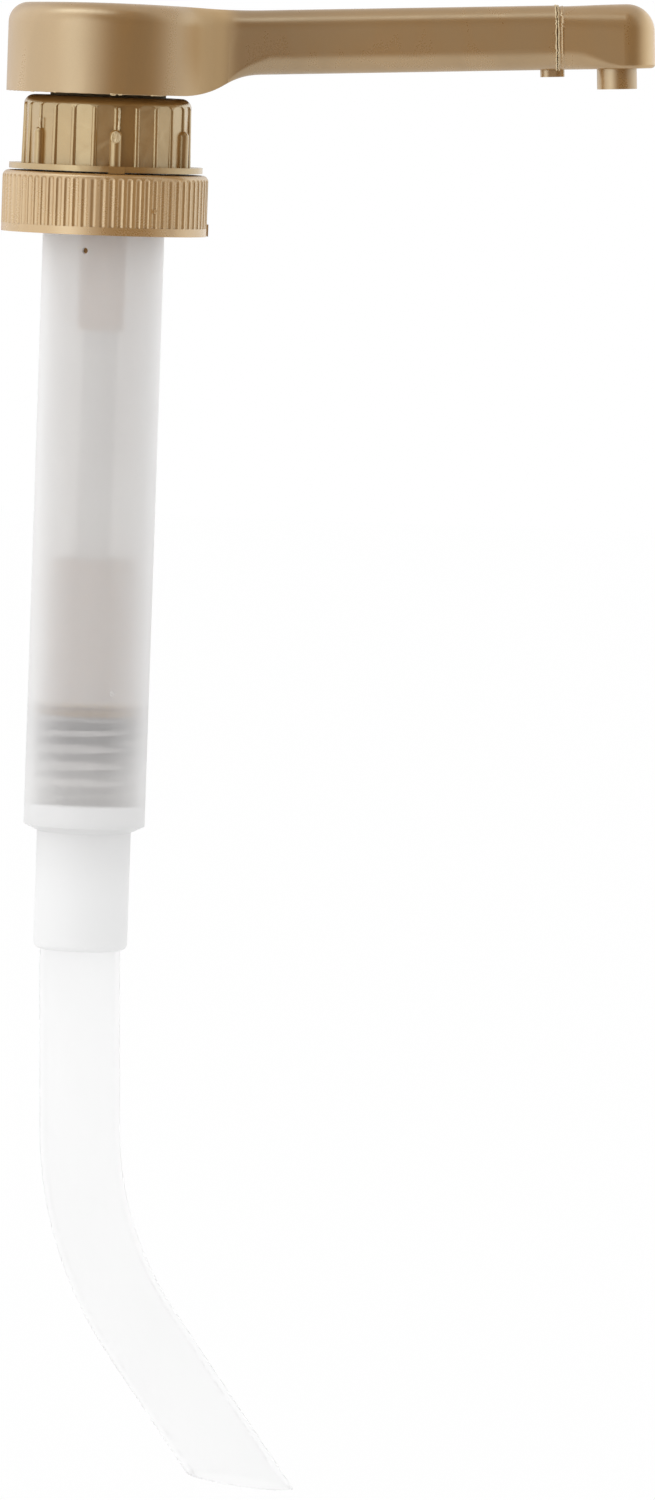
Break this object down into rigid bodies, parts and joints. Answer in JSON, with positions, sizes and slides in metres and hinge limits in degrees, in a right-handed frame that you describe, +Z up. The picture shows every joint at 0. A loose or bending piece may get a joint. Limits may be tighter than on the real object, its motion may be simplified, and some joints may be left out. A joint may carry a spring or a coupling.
{
  "type": "syrup pump",
  "caption": "Lever-arm syrup pump locked down, with a ribbed screw closure for a wide-neck bottle, a frosted pump barrel and a bent dip tube.",
  "frame": {"origin": "on the pump's axis in the plane of the bottle's rim, at the underside of the neck gasket", "axes": "+Z up along the pump's axis through the head, +X along the delivery arm towards the spout, +Y to the left of the arm"},
  "size_m": [0.1278, 0.0406, 0.2968],
  "materials": {
    "gold_plastic": "pearl gold moulded plastic, satin",
    "frosted_plastic": "natural polypropylene, frosted and slightly see-through",
    "milky_plastic": "natural plastic, milky and smooth",
    "foam_gasket": "white foamed polyethylene sheet",
    "white_elastomer": "white elastomer, dull",
    "spring_steel": "drawn stainless wire",
    "ball_steel": "polished stainless steel ball"
  },
  "bodies": {
    "barrel": {"barrel": "frosted_plastic", "lock_collar": "gold_plastic", "guide_sleeve": "gold_plastic", "collar_seal": "white_elastomer", "stem_wiper": "white_elastomer", "neck_gasket": "foam_gasket", "return_spring": "spring_steel", "ball_cage": "milky_plastic", "dip_tube": "milky_plastic"},
    "closure": {"closure": "gold_plastic"},
    "piston": {"piston_cup": "gold_plastic"},
    "head": {"actuator_head": "gold_plastic", "spout_elbow": "gold_plastic", "stem": "milky_plastic", "piston_core": "gold_plastic"},
    "discharge_ball": {"discharge_ball": "ball_steel"},
    "suction_ball": {"suction_ball": "ball_steel"}
  },
  "joints": [
    {"name": "closure_spin", "type": "hinge", "parent": "barrel", "child": "closure", "pos_m": [0, 0, 0], "axis": [0, 0, 1], "continuous": true},
    {"name": "plunger_slide", "type": "slide", "parent": "barrel", "child": "piston", "axis": [0, 0, 1], "range_m": [0, 0.045], "deforming": ["return_spring"]},
    {"name": "head_turn", "type": "hinge", "parent": "piston", "child": "head", "pos_m": [0, 0, 0], "axis": [0, 0, 1], "continuous": true},
    {"name": "discharge_ball_lift", "type": "slide", "parent": "head", "child": "discharge_ball", "axis": [0, 0, 1], "range_m": [0, 0.002]},
    {"name": "suction_ball_lift", "type": "slide", "parent": "barrel", "child": "suction_ball", "axis": [0, 0, 1], "range_m": [0, 0.0025]}
  ]
}
